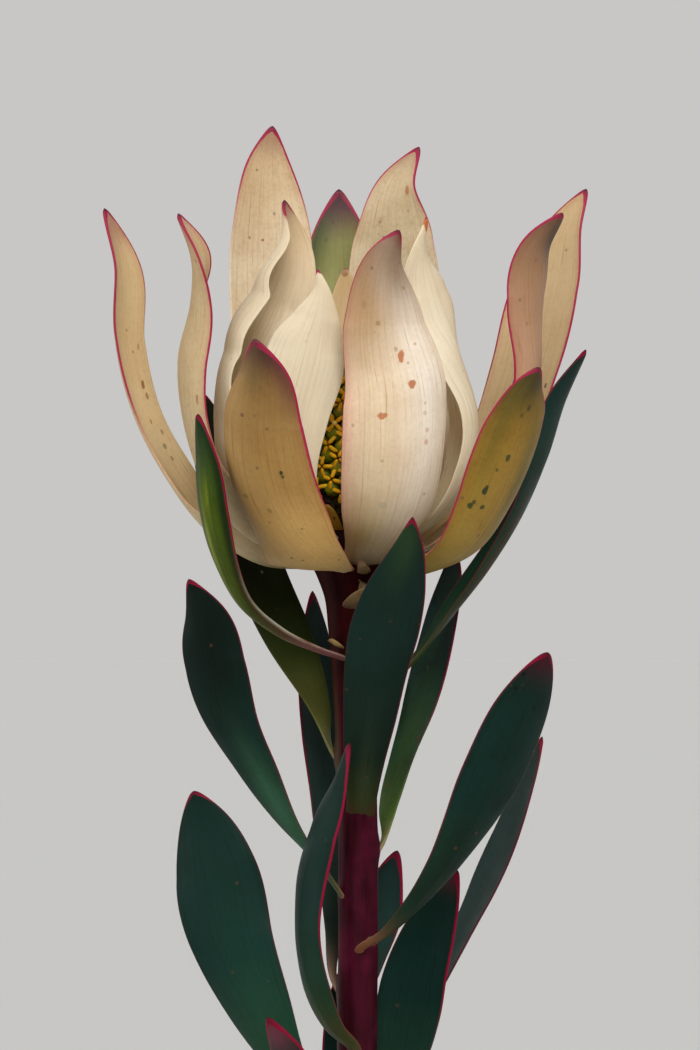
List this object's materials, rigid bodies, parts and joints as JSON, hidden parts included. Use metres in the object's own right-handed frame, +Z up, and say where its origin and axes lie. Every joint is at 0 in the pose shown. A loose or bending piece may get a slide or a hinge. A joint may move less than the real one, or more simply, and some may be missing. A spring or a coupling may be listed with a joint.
{
  "type": "leucadendron in vase",
  "caption": "Cut leucadendron stem with dark green leaves and one open cream bloom of pointed, crimson-edged bracts round a green cone, standing in a plain bud vase of water.",
  "frame": {"origin": "centre of the vase's flat underside", "axes": "+Z up along the vase's axis; -Y towards the viewer of the picture, +X to the viewer's right"},
  "size_m": [0.094, 0.0765, 0.3579],
  "materials": {
    "vase": "satin",
    "water": "polished",
    "stem": "satin",
    "cone": "satin",
    "bract_cream": "satin",
    "bract_gold": "satin",
    "bract_green": "satin",
    "papery_bract": "matte",
    "leaf": "satin"
  },
  "bodies": {
    "root": {"vase": "vase", "water": "water", "stem": "stem", "cone": "cone", "bract_front_right": "bract_cream", "bract_front_left": "bract_gold", "bract_front_left_inner": "bract_cream", "bract_left_inner": "bract_cream", "bract_left": "bract_cream", "bract_far_left": "bract_cream", "bract_back_left": "bract_cream", "bract_back_green": "bract_green", "bract_back_centre": "bract_cream", "bract_back_right": "bract_cream", "bract_right_folded": "bract_cream", "bract_right_inner": "bract_cream", "bract_right_outer": "bract_cream", "bract_front_right_low": "bract_gold", "bract_hidden_back_left": "bract_cream", "bract_hidden_back_right": "bract_cream", "papery_bract_front": "papery_bract", "papery_bract_under": "papery_bract", "papery_bract_back": "papery_bract", "leaf_01_front_left": "leaf", "leaf_02_back_left": "leaf", "leaf_03_left": "leaf", "leaf_04_low_left": "leaf", "leaf_05_front": "leaf", "leaf_06_right": "leaf", "leaf_07_right_back": "leaf", "leaf_08_right": "leaf", "leaf_09_right_back": "leaf", "leaf_10_low_right": "leaf", "leaf_11_back_right": "leaf", "leaf_12_front_curved": "leaf", "leaf_13_left_back": "leaf", "leaf_14_low_front_left": "leaf", "leaf_15_hidden_back_high": "leaf", "leaf_16_hidden_back_low": "leaf"}
  },
  "joints": []
}
